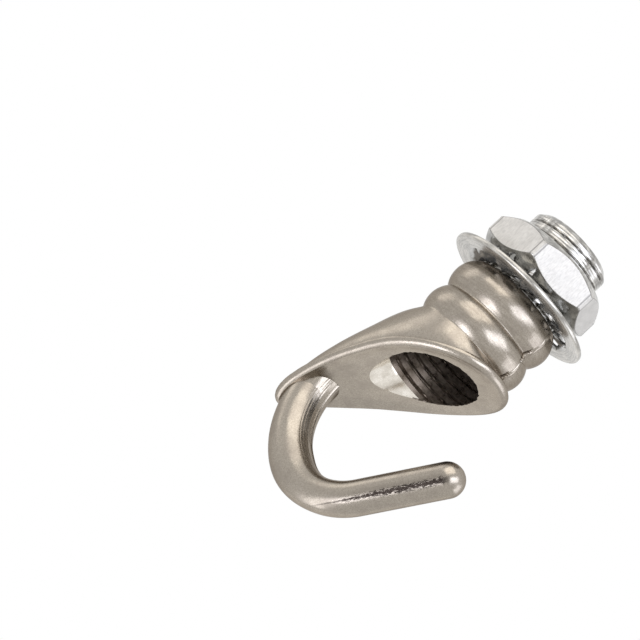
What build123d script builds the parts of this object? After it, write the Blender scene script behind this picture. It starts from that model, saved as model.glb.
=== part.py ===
"""Ceiling hook with a wire way: a die-cast hook body, a hollow threaded nipple,
a lock nut and a toothed washer. Millimetres, +Z up along the nipple.

The origin is the centre of the seat, the small flat ring on top of the body that
meets the plate or canopy. The hook hangs below it in the plane y = 0, with its
root on the -X side and its open side at +X.
"""
from build123d import *
from math import cos, radians, sin, tan
import os

# Thread of the nipple, M10 x 1, drawn as plain cylinders
thread_d = 9.8
thread_pitch = 1.0
thread_fit = 0.05
thread_chamfer = thread_pitch / 2

# Hollow nipple
nipple_above_seat = 8.5
nipple_depth = 5.2
nipple_bore_d = 7.0
nipple_gap = 0.02

# Body: two round beads with a sharp groove under each
seat_r = 5.6
bead_1_r = 6.5
bead_2_r = 6.45
groove_1_r = 5.8
groove_2_r = 5.95
bead_1_h = 3.9
bead_2_h = 3.4

# Bell under the lower groove: it leans towards -X and narrows into the hook's root.
# Each row is drop below the lower groove, centre x, half length in x, half width in y.
bell_sections = [
    (0.0, 0.0, 5.95, 5.95),
    (1.3, -0.1, 7.3, 6.2),
    (4.3, -1.7, 7.1, 6.2),
    (7.8, -5.2, 5.2, 5.2),
    (10.7, -7.9, 3.8, 3.95),
    (13.1, -9.6, 3.0, 3.0),
    (15.5, -10.5, 2.5, 2.4),
    (17.4, -10.9, 2.2, 2.2),
]

# Slanted mouth: a hollow of large radius across the bell
mouth_r = 42.0
mouth_tilt = 30.3
mouth_drop = 4.5
lip_round = 0.35

# Wire way through the body
tapped_d = 9.1
tapped_end_drop = 6.1
pocket_top_d = 6.4
pocket_d = 7.0
pocket_lean = -2.4
pocket_rise = 2.0
pocket_depth = 3.2

# Hook: a curved leg, a tighter bend and a straight arm, of round section that thins
# through the bend. Angles are headings, measured from level.
leg_d = 4.56
arm_d = 3.7
leg_r = 10.8
bend_r = 7.75
bend_x = -0.9
bend_drop = 13.5
root_heading = 76.0
bend_heading = 23.0
arm_heading = 48.6
arm_length = 9.3
thin_from = -33.0
thin_to = 18.0
hook_steps = 14
# The leg starts inside the bell, thinner and upright, above its first full section
root_core_d = 3.4
root_core_in = 0.1
root_core_rise = 2.0

# Toothed washer, teeth inwards and twisted
washer_d = 17.7
washer_t = 0.54
washer_lift = 0.27
tooth_ring_d = 14.2
tooth_bore_d = 10.3
tooth_count = 12
tooth_width = 1.75
tooth_twist = 38.0
tooth_rise = 0.33
tooth_first = 17.0

# Lock nut
nut_af = 13.0
nut_t = 4.2
nut_turn = -6.0
nut_face_inset = 0.6
nut_chamfer = 41.0
nut_seat_gap = 0.03

# Places worked out from the sizes above
thread_r = thread_d / 2
groove_1_z = -bead_1_h
groove_2_z = groove_1_z - bead_2_h
mouth_z = groove_2_z - mouth_drop
bend_z = groove_2_z - bend_drop
washer_z = washer_lift
tooth_mid_z = washer_z + washer_t / 2 + tooth_rise
tooth_half_h = tooth_width / 2 * sin(radians(tooth_twist)) + washer_t / 2 * cos(radians(tooth_twist))
nut_z = tooth_mid_z + tooth_half_h + nut_seat_gap


def turned(points_and_arcs):
    """Solid of revolution about Z from a list of edges drawn in x and z."""
    profile = make_face(Wire(points_and_arcs))
    return revolve(profile, axis=Axis.Z)


def on_xz(x, z):
    """Point of the plane y = 0."""
    return (x, 0, z)


def beads():
    """The two beads and their grooves, solid to the axis."""
    middle_1 = on_xz(bead_1_r, -bead_1_h / 2)
    middle_2 = on_xz(bead_2_r, groove_1_z - bead_2_h / 2)
    return turned([
        Line(on_xz(0, 0), on_xz(seat_r, 0)),
        ThreePointArc(on_xz(seat_r, 0), middle_1, on_xz(groove_1_r, groove_1_z)),
        ThreePointArc(on_xz(groove_1_r, groove_1_z), middle_2, on_xz(groove_2_r, groove_2_z)),
        Line(on_xz(groove_2_r, groove_2_z), on_xz(0, groove_2_z)),
        Line(on_xz(0, groove_2_z), on_xz(0, 0)),
    ])


def mouth_cutter():
    """Everything under the slanted, slightly hollow mouth."""
    centre_x = mouth_r * sin(radians(mouth_tilt))
    centre_z = mouth_z - mouth_r * cos(radians(mouth_tilt))
    depth = 4 * bead_1_r  # wider than the bell
    round_bar = Plane(origin=(centre_x, depth / 2, centre_z), x_dir=(1, 0, 0), z_dir=(0, -1, 0))
    return extrude(round_bar * Circle(mouth_r), amount=depth)


def bell():
    """Leaning horn under the beads, cut by the mouth, its lip rounded."""
    sections = []
    for drop, centre, half_x, half_y in bell_sections:
        level = Plane(origin=(centre, 0, groove_2_z - drop))
        sections.append(level * Ellipse(half_x, half_y))
    horn = loft(sections)
    cut = horn - mouth_cutter()
    mouth = cut.faces().filter_by(GeomType.CYLINDER)[0]
    return fillet(mouth.edges(), lip_round)


def hook_point(heading):
    """Centre line of the leg and the bend at a heading; down is negative."""
    angle = radians(heading)
    if heading >= -bend_heading:
        return (bend_x + bend_r * sin(angle), bend_z - bend_r * cos(angle))
    joint = radians(bend_heading)
    leg_x = bend_x + (leg_r - bend_r) * sin(joint)
    leg_z = bend_z + (leg_r - bend_r) * cos(joint)
    return (leg_x + leg_r * sin(angle), leg_z - leg_r * cos(angle))


def hook_radius(heading):
    share = (heading - thin_from) / (thin_to - thin_from)
    share = min(1.0, max(0.0, share))
    smooth = share * share * (3 - 2 * share)
    return (leg_d + (arm_d - leg_d) * smooth) / 2


def across(place, direction):
    """Plane square to a direction at a place, both given in x and z."""
    return Plane(origin=on_xz(*place), x_dir=(0, 1, 0), z_dir=on_xz(*direction))


def hook():
    """Tapered round rod: a lofted leg and bend, a straight arm and a ball tip."""
    root_x, root_z = hook_point(-root_heading)
    core = across((root_x + root_core_in, root_z + root_core_rise), (0, -1))
    sections = [core * Circle(root_core_d / 2)]
    sweep = root_heading + arm_heading
    for i in range(hook_steps + 1):
        heading = -root_heading + sweep * i / hook_steps
        direction = (cos(radians(heading)), sin(radians(heading)))
        level = across(hook_point(heading), direction)
        sections.append(level * Circle(hook_radius(heading)))
    arm = extrude(sections[-1], amount=arm_length)
    tip = level * Pos(0, 0, arm_length) * Sphere(arm_d / 2)
    return loft(sections) + arm + tip


def wire_way():
    """Bore for the nipple, the tapped bore below it and the smooth run-out pocket."""
    down = (Align.CENTER, Align.CENTER, Align.MAX)
    nipple_hole = Cylinder(thread_r + nipple_gap, nipple_depth, align=down)
    tapped_end = groove_2_z - tapped_end_drop
    tapped = Pos(0, 0, -nipple_depth) * Cylinder(tapped_d / 2, -nipple_depth - tapped_end, align=down)
    upper_x = pocket_top_d / 2 - tapped_d / 2
    pocket = loft([
        Pos(upper_x, 0, tapped_end + pocket_rise) * Circle(pocket_top_d / 2),
        Pos(pocket_lean, 0, tapped_end - pocket_depth) * Circle(pocket_d / 2),
    ])
    return nipple_hole + tapped + pocket


def hook_body():
    horn = bell()
    solid = beads() + horn
    return solid - wire_way() + hook()


def threaded_nipple():
    length = nipple_above_seat + nipple_depth
    tube = Pos(0, 0, -nipple_depth) * Cylinder(thread_r, length, align=(Align.CENTER, Align.CENTER, Align.MIN))
    ends = tube.edges().filter_by(GeomType.CIRCLE)
    tube = chamfer(ends, thread_chamfer)
    hole = Pos(0, 0, -nipple_depth) * Cylinder(
        nipple_bore_d / 2, length, align=(Align.CENTER, Align.CENTER, Align.MIN))
    return tube - hole


def toothed_washer():
    """Plain flat rim with short teeth inside it, each twisted about its own radius."""
    flat = Pos(0, 0, washer_z)
    rim = flat * Cylinder(washer_d / 2, washer_t, align=(Align.CENTER, Align.CENTER, Align.MIN))
    rim -= flat * Cylinder(tooth_ring_d / 2, washer_t, align=(Align.CENTER, Align.CENTER, Align.MIN))
    root_r = tooth_ring_d / 2 + washer_t
    tooth_length = root_r - tooth_bore_d / 2
    blank = Box(tooth_length, tooth_width, washer_t)
    ring = rim
    for i in range(tooth_count):
        turn = Rot(0, 0, tooth_first + i * 360 / tooth_count)
        place = Pos(root_r - tooth_length / 2, 0, tooth_mid_z)
        tooth = turn * place * Rot(tooth_twist, 0, 0) * blank
        ring += tooth
    bore = Cylinder(tooth_bore_d / 2, 2 * nut_z)
    return ring - bore


def hex_nut():
    """Hexagon nut, turned to a cone at both faces."""
    level = Plane(origin=(0, 0, nut_z))
    corner_r = nut_af / 2 / cos(radians(30))
    prism = extrude(level * RegularPolygon(corner_r, 6, rotation=nut_turn), amount=nut_t)
    face_r = nut_af / 2 - nut_face_inset
    rise = (corner_r - face_r) * tan(radians(nut_chamfer))
    blank = turned([
        Line(on_xz(0, nut_z), on_xz(face_r, nut_z)),
        Line(on_xz(face_r, nut_z), on_xz(corner_r, nut_z + rise)),
        Line(on_xz(corner_r, nut_z + rise), on_xz(corner_r, nut_z + nut_t - rise)),
        Line(on_xz(corner_r, nut_z + nut_t - rise), on_xz(face_r, nut_z + nut_t)),
        Line(on_xz(face_r, nut_z + nut_t), on_xz(0, nut_z + nut_t)),
        Line(on_xz(0, nut_z + nut_t), on_xz(0, nut_z)),
    ])
    bore = Pos(0, 0, nut_z) * Cylinder(
        thread_r + thread_fit, nut_t, align=(Align.CENTER, Align.CENTER, Align.MIN))
    return (prism & blank) - bore


nodes = {
    "hook_body": hook_body,
    "threaded_nipple": threaded_nipple,
    "toothed_washer": toothed_washer,
    "hex_nut": hex_nut,
}

os.makedirs("parts", exist_ok=True)
for name, make in nodes.items():
    piece = make()
    piece.label = name
    export_step(piece, f"parts/{name}.step")
    size = piece.bounding_box().size
    print(f"{name}: {piece.volume:.1f} mm3, {size.X:.2f} x {size.Y:.2f} x {size.Z:.2f} mm")
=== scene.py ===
# %% [markdown]
# # Ceiling hook with a wire way
# A die-cast hook screws to a ceiling plate by a hollow threaded nipple, and the lamp's
# cable comes out of the slanted mouth beside the hook. This lesson dresses the solid
# model: each piece gets its fine forms and its finish, then lamps and a camera.
# The solid model is loaded first and is never changed.

# %% Load the solid model
import math

import bmesh
import bpy
import numpy as np
from mathutils import Matrix, Vector


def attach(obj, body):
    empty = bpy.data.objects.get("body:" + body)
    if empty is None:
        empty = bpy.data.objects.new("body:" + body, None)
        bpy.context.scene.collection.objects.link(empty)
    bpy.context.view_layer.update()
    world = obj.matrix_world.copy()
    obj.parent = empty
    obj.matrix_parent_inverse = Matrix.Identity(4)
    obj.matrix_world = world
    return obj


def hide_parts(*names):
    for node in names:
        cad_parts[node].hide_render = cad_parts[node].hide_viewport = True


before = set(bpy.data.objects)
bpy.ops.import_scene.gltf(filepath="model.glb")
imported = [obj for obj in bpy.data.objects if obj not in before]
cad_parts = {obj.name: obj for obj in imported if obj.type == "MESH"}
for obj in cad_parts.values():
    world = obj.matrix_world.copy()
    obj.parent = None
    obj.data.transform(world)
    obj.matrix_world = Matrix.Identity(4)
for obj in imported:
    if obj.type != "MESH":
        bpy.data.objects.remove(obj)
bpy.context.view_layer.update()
mm = 0.001
scene = bpy.context.scene

# %% [markdown]
# ## The camera
# The camera looks a little upwards at the hook and is rolled, so that the nipple points
# to the upper right. It could be aimed with a constraint, but its roll matters here, so
# its matrix is written as three axes: right, up, and back towards the viewer. A long lens
# keeps the small object free of strong perspective.

# %% Camera
eye = Vector((165.61, -185.37, -60.48)) * mm
axis_right = Vector((0.5728, 0.3822, 0.7252))
axis_up = Vector((-0.4415, -0.6016, 0.6657))
axis_back = Vector((0.6907, -0.7015, -0.1759))

camera_data = bpy.data.cameras.new("camera")
camera_data.lens = 140.6
camera_data.sensor_width = 36.0
camera_data.clip_start = 0.01
camera = bpy.data.objects.new("camera", camera_data)
camera_turn = Matrix((axis_right, axis_up, axis_back)).transposed().to_4x4()
camera.matrix_world = Matrix.Translation(eye) @ camera_turn
scene.collection.objects.link(camera)
scene.camera = camera
print("camera distance, mm:", round(eye.length / mm, 1))

# %% [markdown]
# ## Helpers for finishes
# Colours are written as hex values, as in any paint program, and one function turns
# them into the linear numbers that the renderer wants. Another adds one node with its
# settings and its links, so that a material reads as a short list.
#
# A RANGE node is given a value, the two ends between which it matters, and what those
# ends become, which is 0 and 1 if they are left out. A noise's scale is written as per_mm
# divided by the size of its patches in mm. Some nodes have several inputs of one name, and
# those are called by number: a Mix of colours takes a SHARE and goes FROM one colour TO
# another, and a Mix Shader goes from input 1 to input 2.

# %% Colour and node helpers
MATH, VECTOR, RANGE = "ShaderNodeMath", "ShaderNodeVectorMath", "ShaderNodeMapRange"
MIX, NOISE, MAPPING = "ShaderNodeMix", "ShaderNodeTexNoise", "ShaderNodeMapping"
BUMP, METAL = "ShaderNodeBump", "ShaderNodeBsdfPrincipled"
SHARE, FROM, TO = 0, 6, 7
per_mm = 1000


def colour(hex_text):
    """Linear colour of an sRGB hex value."""
    channels = [int(hex_text[i:i + 2], 16) / 255 for i in (0, 2, 4)]
    return tuple(c / 12.92 if c <= 0.04045 else ((c + 0.055) / 1.055) ** 2.4 for c in channels) + (1.0,)


def add(tree, kind, values=(), **settings):
    """Adds one node and fills its inputs, listed in order or by name.

    A value is a number, a vector, a hex colour, or the node or socket that it comes from.
    """
    node = tree.nodes.new(kind)
    for name, value in settings.items():
        setattr(node, name, value)
    for name, value in values.items() if isinstance(values, dict) else enumerate(values):
        if isinstance(value, bpy.types.Node):
            value = next(socket for socket in value.outputs if socket.enabled)
        if isinstance(value, bpy.types.NodeSocket):
            tree.links.new(value, node.inputs[name])
        else:
            node.inputs[name].default_value = colour(value) if isinstance(value, str) else value
    return node


def new_material(name):
    """An empty node material with its output, and the tree to fill."""
    material = bpy.data.materials.new(name)
    material.use_nodes = True
    material.node_tree.nodes.clear()
    return material, material.node_tree


print("mid grey 808080 in linear light:", [round(c, 3) for c in colour("808080")])

# %% [markdown]
# ## Studio
# Bare metal shows what stands round it. Seven soft lamps give the bright patches that run
# over every rounded form, and the white room between them is what the metal mirrors. The
# world is white for the camera, for reflections and through glass, and dimmer for the
# light it gives, because a white room as bright as it looks would wash the metal out.

# %% World
room_light = 0.6
world = bpy.data.worlds.new("studio_room")
scene.world = world
world.use_nodes = True
room = world.node_tree
room.nodes.clear()
ray = add(room, "ShaderNodeLightPath").outputs
seen = add(room, MATH, [ray["Is Camera Ray"], ray["Is Glossy Ray"]], operation="MAXIMUM")
seen = add(room, MATH, [seen, ray["Is Transmission Ray"]], operation="MAXIMUM")
dim = add(room, "ShaderNodeBackground", {"Color": "FFFFFF", "Strength": room_light})
white = add(room, "ShaderNodeBackground", {"Color": "FFFFFF", "Strength": 1.0})
mixed = add(room, "ShaderNodeMixShader", {"Fac": seen, 1: dim, 2: white})
add(room, "ShaderNodeOutputWorld", {"Surface": mixed})
scene.view_settings.view_transform = "Standard"
print("world nodes:", len(room.nodes))

# %% [markdown]
# A lamp's place is written as the direction from the object, in the camera's own axes
# (right, up, back), because that is how a photographer sets lamps: from behind the
# camera. The lamp is then put there in the object's frame and stays there.

# %% Lamps
aim = Vector((-1.0, 0.0, -6.0)) * mm
lamp_distance = 0.40


def lamp(name, direction, width, height, power, tint, turn=0.0):
    """A soft rectangular lamp that faces the object."""
    right, up, back = direction
    way = (axis_right * right + axis_up * up + axis_back * back).normalized()
    wide = (axis_up.cross(way)).normalized()
    data = bpy.data.lights.new(name, "AREA")
    data.shape = "RECTANGLE"
    data.size = width
    data.size_y = height
    data.energy = power
    data.color = colour(tint)[:3]
    body = bpy.data.objects.new(name, data)
    facing = Matrix((wide, way.cross(wide), way)).transposed().to_4x4()
    spin = Matrix.Rotation(math.radians(turn), 4, "Z")
    body.matrix_world = Matrix.Translation(aim + way * lamp_distance) @ facing @ spin
    scene.collection.objects.link(body)


# Name, direction, width and height in m, power in W, colour, and turn in degrees
lamp("lamp_top", (0.20, 0.89, 0.40), 0.40, 0.35, 0.68, "FDF8F1")
lamp("lamp_back", (-0.53, 0.79, -0.30), 0.16, 0.24, 0.10, "FAF6F2")
lamp("lamp_under", (-0.36, -0.72, -0.58), 0.36, 0.36, 0.12, "FFFFFF")
lamp("lamp_right", (0.64, 0.04, 0.77), 0.39, 0.21, 0.82, "EAF0FF")
lamp("lamp_left", (-0.68, -0.11, 0.72), 0.15, 0.20, 0.37, "F0F3FF")
lamp("lamp_bend", (-0.885, -0.395, 0.248), 0.15, 0.44, 0.38, "F6F7FF", -45.0)
lamp("lamp_low", (0.74, -0.67, 0.10), 0.25, 0.25, 0.32, "EEF2FF")

# %% [markdown]
# The floor lies well under the hook, so that the pieces can be looked at from below. It is
# pale paint that takes the object's shadow, and the metal mirrors it as white as the room.

# %% Floor
floor_half, floor_z = 2.5, -0.60
corners = [(floor_half * x, floor_half * y, floor_z) for x, y in ((-1, -1), (1, -1), (1, 1), (-1, 1))]
floor_mesh = bpy.data.meshes.new("floor")
floor_mesh.from_pydata(corners, [], [(0, 1, 2, 3)])
floor = bpy.data.objects.new("floor", floor_mesh)
scene.collection.objects.link(floor)
floor_material, tree = new_material("pale_studio_floor")
paint = add(tree, "ShaderNodeBsdfDiffuse", {"Color": "F2F2F2"})
glow = add(tree, "ShaderNodeEmission", {"Color": "FFFFFF", "Strength": 1.0})
ray = add(tree, "ShaderNodeLightPath").outputs
seen = add(tree, MATH, [ray["Is Glossy Ray"], ray["Is Transmission Ray"]], operation="MAXIMUM")
mixed = add(tree, "ShaderNodeMixShader", {"Fac": seen, 1: paint, 2: glow})
add(tree, "ShaderNodeOutputMaterial", {"Surface": mixed})
floor_mesh.materials.append(floor_material)
print("floor height, m:", floor_z)

# %% [markdown]
# ## Finishes
# The body is zinc, cast under pressure and plated with satin nickel. The plating is warm
# and soft. The cast skin under it is slightly uneven, like orange peel, and dulls and
# brightens in small patches. A photographed texture would need unwrapping and would blur
# up close, so every finish is made of noise in the object's own millimetres.

# %% Satin nickel on cast zinc
nickel, tree = new_material("satin_nickel_on_cast_zinc")
place = add(tree, "ShaderNodeTexCoord").outputs["Object"]
peel = add(tree, NOISE, {"Vector": place, "Scale": per_mm / 0.5, "Detail": 3, "Roughness": 0.55})
grain = add(tree, NOISE, {"Vector": place, "Scale": per_mm / 0.16, "Detail": 2, "Roughness": 0.55})
dull = add(tree, NOISE, {"Vector": place, "Scale": per_mm / 1.6, "Detail": 4, "Roughness": 0.55})
share = add(tree, RANGE, [grain, 0.35, 0.65])
tone = add(tree, MIX, {SHARE: share, FROM: "999186", TO: "A8A095"}, data_type="RGBA")
share = add(tree, RANGE, [dull, 0.45, 0.75, 0.0, 0.35])
tone = add(tree, MIX, {SHARE: share, FROM: tone, TO: "867D75"}, data_type="RGBA")

# Fine lines that the polishing wheel left round the two beads: noise pressed flat in Z.
# The real ones are finer, and these are drawn as coarse as they need to show
lines = add(tree, MAPPING, {"Vector": place, "Scale": (0.12, 0.12, 1.0)})
lines = add(tree, NOISE, {"Vector": lines, "Scale": per_mm / 0.16, "Detail": 3, "Roughness": 0.55})
lines = add(tree, RANGE, [lines, 0.42, 0.62, 0.0, 0.30])
height = add(tree, "ShaderNodeSeparateXYZ", [place]).outputs["Z"]
on_beads = add(tree, RANGE, [height, -8.0 * mm, -7.0 * mm])
share = add(tree, MATH, [lines, on_beads], operation="MULTIPLY")
tone = add(tree, MIX, {SHARE: share, FROM: tone, TO: "7B7268"}, data_type="RGBA")
print("nickel nodes so far:", len(tree.nodes))

# %% [markdown]
# A dark streak along the front of the arm is painted reflection, the dark that the rod's
# middle mirrors: a narrow ragged core and a paler band above it. It could be painted on the
# mesh, but that needs very small faces. Here both are measured from the arm's start, along
# the arm, sideways and outwards, so that they stay on one side of the rod at any mesh.

# %% Painted reflection: dark streak on the arm
arm_turn = math.radians(48.6)
arm_start, arm_way = (4.80 * mm, -0.13 * mm, -25.83 * mm), (0.6613, 0.0, 0.7501)
streak_way, streak_side = (0.503, -0.742, -0.444), (0.5566, 0.6709, -0.4907)
from_start = add(tree, VECTOR, [place, arm_start], operation="SUBTRACT")
along = add(tree, VECTOR, [from_start, arm_way], operation="DOT_PRODUCT")
sideways = add(tree, VECTOR, [from_start, streak_side], operation="DOT_PRODUCT")
outwards = add(tree, VECTOR, [from_start, streak_way], operation="DOT_PRODUCT")
start = add(tree, RANGE, [along, -4.5 * mm, 3.5 * mm])
stop = add(tree, RANGE, [along, 9.3 * mm, 10.3 * mm, 1.0, 0.0])
front = add(tree, RANGE, [outwards, 0.5 * mm, 1.0 * mm])

# The ragged noise is turned with the arm and stretched along it
ragged = add(tree, MAPPING, {"Vector": place, "Rotation": (0, arm_turn, 0)})
ragged = add(tree, MAPPING, {"Vector": ragged, "Scale": (0.3, 1, 1)})
ragged = add(tree, NOISE, {"Vector": ragged, "Scale": per_mm / 0.12, "Detail": 4, "Roughness": 0.8})
width = add(tree, RANGE, [ragged, 0.36, 0.62, 0.06 * mm, 0.50 * mm])
width = add(tree, MATH, [width, start], operation="MULTIPLY")
core = add(tree, MATH, [sideways], operation="ABSOLUTE")
core = add(tree, MATH, [width, core], operation="SUBTRACT")
core = add(tree, RANGE, [core, -0.06 * mm, 0.10 * mm, 0.0, 0.96])
halo = add(tree, MATH, [sideways, 0.2 * mm], operation="ADD")
halo = add(tree, MATH, [halo], operation="ABSOLUTE")
halo = add(tree, RANGE, [halo, 0.1 * mm, 0.65 * mm, 0.75, 0.0])
patchy = add(tree, RANGE, [ragged, 0.35, 0.65, 0.5, 1.0])
for limit in (patchy, start, stop, front):
    halo = add(tree, MATH, [halo, limit], operation="MULTIPLY")
for limit in (stop, front):
    core = add(tree, MATH, [core, limit], operation="MULTIPLY")
# The painted reflection: the paler band over the nickel, then the dark core
tone = add(tree, MIX, {SHARE: halo, FROM: tone, TO: "665E56"}, data_type="RGBA")
tone = add(tree, MIX, {SHARE: core, FROM: tone, TO: "1F1916"}, data_type="RGBA")
print("nodes with the streak:", len(tree.nodes))

# %% [markdown]
# Two bumps give the peel and the finer grain of the cast skin. They are too shallow to
# model, and only break up the reflections. The tint keeps the nickel warm at its edges.

# %% Nickel surface
bump = add(tree, BUMP, {"Height": peel, "Strength": 0.35, "Distance": 0.03 * mm})
bump = add(tree, BUMP, {"Height": grain, "Normal": bump, "Strength": 0.25, "Distance": 0.01 * mm})
roughness = add(tree, RANGE, [dull, 0.35, 0.65, 0.22, 0.31])
shade = add(tree, METAL, {"Normal": bump, "Base Color": tone, "Roughness": roughness,
                          "Metallic": 1.0, "Specular Tint": "CBC6C1"})
add(tree, "ShaderNodeOutputMaterial", {"Surface": shade})
print("nickel nodes:", len(tree.nodes))

# %% [markdown]
# The thread was tapped through the plating into bare zinc, which has gone dark and
# brown: stained metal that mirrors less. The pocket beside it was milled smooth before
# plating, with faint waves from the mill. It is the brightest: its tone, lighter than the
# body's nickel, is partly painted highlight. They are materials of their own, because each
# comes with the tool that cut the faces.

# %% Tapped zinc and milled pocket
tapped, tree = new_material("tapped_bare_zinc")
place = add(tree, "ShaderNodeTexCoord").outputs["Object"]
stain = add(tree, NOISE, {"Vector": place, "Scale": per_mm / 0.6, "Detail": 3, "Roughness": 0.55})
share = add(tree, RANGE, [stain, 0.35, 0.65])
tone = add(tree, MIX, {SHARE: share, FROM: "5C5248", TO: "80756A"}, data_type="RGBA")
roughness = add(tree, RANGE, [stain, 0.35, 0.65, 0.26, 0.38])
shade = add(tree, METAL, {"Base Color": tone, "Roughness": roughness, "Metallic": 0.8})
add(tree, "ShaderNodeOutputMaterial", {"Surface": shade})

milled, tree = new_material("milled_pocket_nickel")
place = add(tree, "ShaderNodeTexCoord").outputs["Object"]
stain = add(tree, NOISE, {"Vector": place, "Scale": per_mm / 0.9, "Detail": 3, "Roughness": 0.55})
share = add(tree, RANGE, [stain, 0.35, 0.65])
# Painted highlight: a lighter tone than the body's nickel
tone = add(tree, MIX, {SHARE: share, FROM: "D3CCC1", TO: "E9E3D9"}, data_type="RGBA")
waves = add(tree, NOISE, {"Vector": place, "Scale": per_mm / 0.3, "Detail": 3, "Roughness": 0.55})
bump = add(tree, BUMP, {"Height": waves, "Strength": 0.25, "Distance": 0.015 * mm})
roughness = add(tree, RANGE, [stain, 0.35, 0.65, 0.18, 0.28])
shade = add(tree, METAL, {"Normal": bump, "Base Color": tone, "Roughness": roughness, "Metallic": 1.0})
add(tree, "ShaderNodeOutputMaterial", {"Surface": shade})
print("tapped and milled surfaces ready")

# %% [markdown]
# The nipple, nut and washer are steel with bright zinc plating: cooler and paler than
# the nickel, and clear enough to mirror their neighbours. The flats of the nut are the
# exception, because they were drawn to shape before plating: they are nearly matt. Five
# separate materials would repeat each other, so one function makes them all. They differ
# only in tone, in how rough they are and in what each piece's making left on it:
#
# - tool marks, noise stretched the way that the tool ran, and in rings on the washer,
#   drawn coarser than the real ones so that they show
# - streaks, upright patches where the plating ran thin
# - grooved, painted shade: dark lines in the bottoms of the thread
# - edged, painted shade: fine dark lines along the nut's edges, from a measure stored
#   on its mesh
# - teeth_shade, painted shade: a duller tone on the washer's teeth, where the nut shades them

# %% Bright zinc plating
# Dark tone of the tool marks and thin plating, and the tone of the painted shade lines
zinc_dirt, shade_line_tone = "6E6C69", "6A6865"


def zinc_plating(name, tones, rough, metallic, mark_scale, mark_depth, mark_share,
                 streaks=0.0, groove_shade=False, edge_shade=False, teeth_shade=None):
    """Zinc-plated steel. `mark_scale` squeezes its tool marks along X, Y and Z."""
    material, tree = new_material(name)
    place = add(tree, "ShaderNodeTexCoord").outputs["Object"]
    run = add(tree, MAPPING, {"Vector": place, "Scale": mark_scale})
    if teeth_shade:
        flat = add(tree, VECTOR, [place, (1, 1, 0)], operation="MULTIPLY")
        radius = add(tree, VECTOR, [flat], operation="LENGTH")
        run = add(tree, VECTOR, [run, radius], operation="ADD")
    marks = add(tree, NOISE, {"Vector": run, "Scale": per_mm / 0.25, "Detail": 3, "Roughness": 0.55})
    film = add(tree, NOISE, {"Vector": place, "Scale": per_mm / 1.2, "Detail": 4, "Roughness": 0.55})
    share = add(tree, RANGE, [film, 0.35, 0.65])
    tone = add(tree, MIX, {SHARE: share, FROM: tones[0], TO: tones[1]}, data_type="RGBA")
    share = add(tree, RANGE, [marks, 0.45, 0.60, 0.0, mark_share])
    tone = add(tree, MIX, {SHARE: share, FROM: tone, TO: zinc_dirt}, data_type="RGBA")
    if streaks:
        drawn = add(tree, MAPPING, {"Vector": place, "Scale": (1.0, 1.0, 0.06)})
        drawn = add(tree, NOISE, {"Vector": drawn, "Scale": per_mm / 0.7, "Detail": 2, "Roughness": 0.55})
        share = add(tree, RANGE, [drawn, 0.45, 0.58, 0.0, streaks])
        tone = add(tree, MIX, {SHARE: share, FROM: tone, TO: zinc_dirt}, data_type="RGBA")
    if groove_shade:
        # The thread rises one pitch, 1 mm, a turn: this counts pitches from the nearest crest
        spot = add(tree, "ShaderNodeSeparateXYZ", [place]).outputs
        turn = add(tree, MATH, [spot["Y"], spot["X"]], operation="ARCTAN2")
        turn = add(tree, MATH, [turn, -0.5 / math.pi], operation="MULTIPLY")
        phase = add(tree, MATH, [spot["Z"], per_mm, turn], operation="MULTIPLY_ADD")
        from_crest = add(tree, MATH, [phase, 0.5], operation="PINGPONG")
        # Painted shade: a dark line along each bottom of the thread
        share = add(tree, RANGE, [from_crest, 0.43, 0.48, 0.0, 0.6])
        tone = add(tree, MIX, {SHARE: share, FROM: tone, TO: shade_line_tone}, data_type="RGBA")
    # Painted shade: fine dark lines along the nut's edges
    if edge_shade:
        gap = add(tree, "ShaderNodeAttribute", attribute_name="edge_gap").outputs["Fac"]
        share = add(tree, RANGE, [gap, 0.01, 0.06, 0.75, 0.0])
        tone = add(tree, MIX, {SHARE: share, FROM: tone, TO: shade_line_tone}, data_type="RGBA")
    # Painted shade: a duller tone on the washer's teeth, inside the rim, where the nut shades them
    if teeth_shade:
        teeth_shade_tone, teeth_r, rim_r = teeth_shade
        share = add(tree, RANGE, [radius, teeth_r * mm, rim_r * mm])
        tone = add(tree, MIX, {SHARE: share, FROM: teeth_shade_tone, TO: tone}, data_type="RGBA")
    bump = add(tree, BUMP, {"Height": marks, "Strength": 0.4, "Distance": mark_depth * mm})
    roughness = add(tree, RANGE, [film, 0.35, 0.65, *rough])
    shade = add(tree, METAL, {"Base Color": tone, "Normal": bump, "Roughness": roughness,
                              "Metallic": metallic})
    add(tree, "ShaderNodeOutputMaterial", {"Surface": shade})
    return material


print("dirt on zinc:", zinc_dirt, "dark lines:", shade_line_tone)

# %% [markdown]
# Each finish is then one call, with its two tones, its least and greatest roughness, how
# metallic it looks, and its marks: how they are squeezed, how deep they are in mm, and how
# much of the tone they take. The nut's lower cone is the clearest mirror of the five.

# %% Five zinc finishes
# Nearly matt, with marks that run up the flats
zinc_flats = zinc_plating(
    "matt_zinc_on_nut_flats", ("C2BFBA", "D3D0CB"), rough=(0.36, 0.48), metallic=0.35,
    mark_scale=(2.4, 2.4, 0.5), mark_depth=0.025, mark_share=0.2, edge_shade=True)
# The darkest and clearest mirror, with small dents. It is the upper cone's turned plating,
# and its darker tones are painted shade
zinc_lower_cone_shaded = zinc_plating(
    "bright_zinc_on_lower_cone", ("83827E", "B5B4B0"), rough=(0.07, 0.16), metallic=1.0,
    mark_scale=(0.3, 0.3, 0.45), mark_depth=0.12, mark_share=0.4, edge_shade=True)
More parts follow.
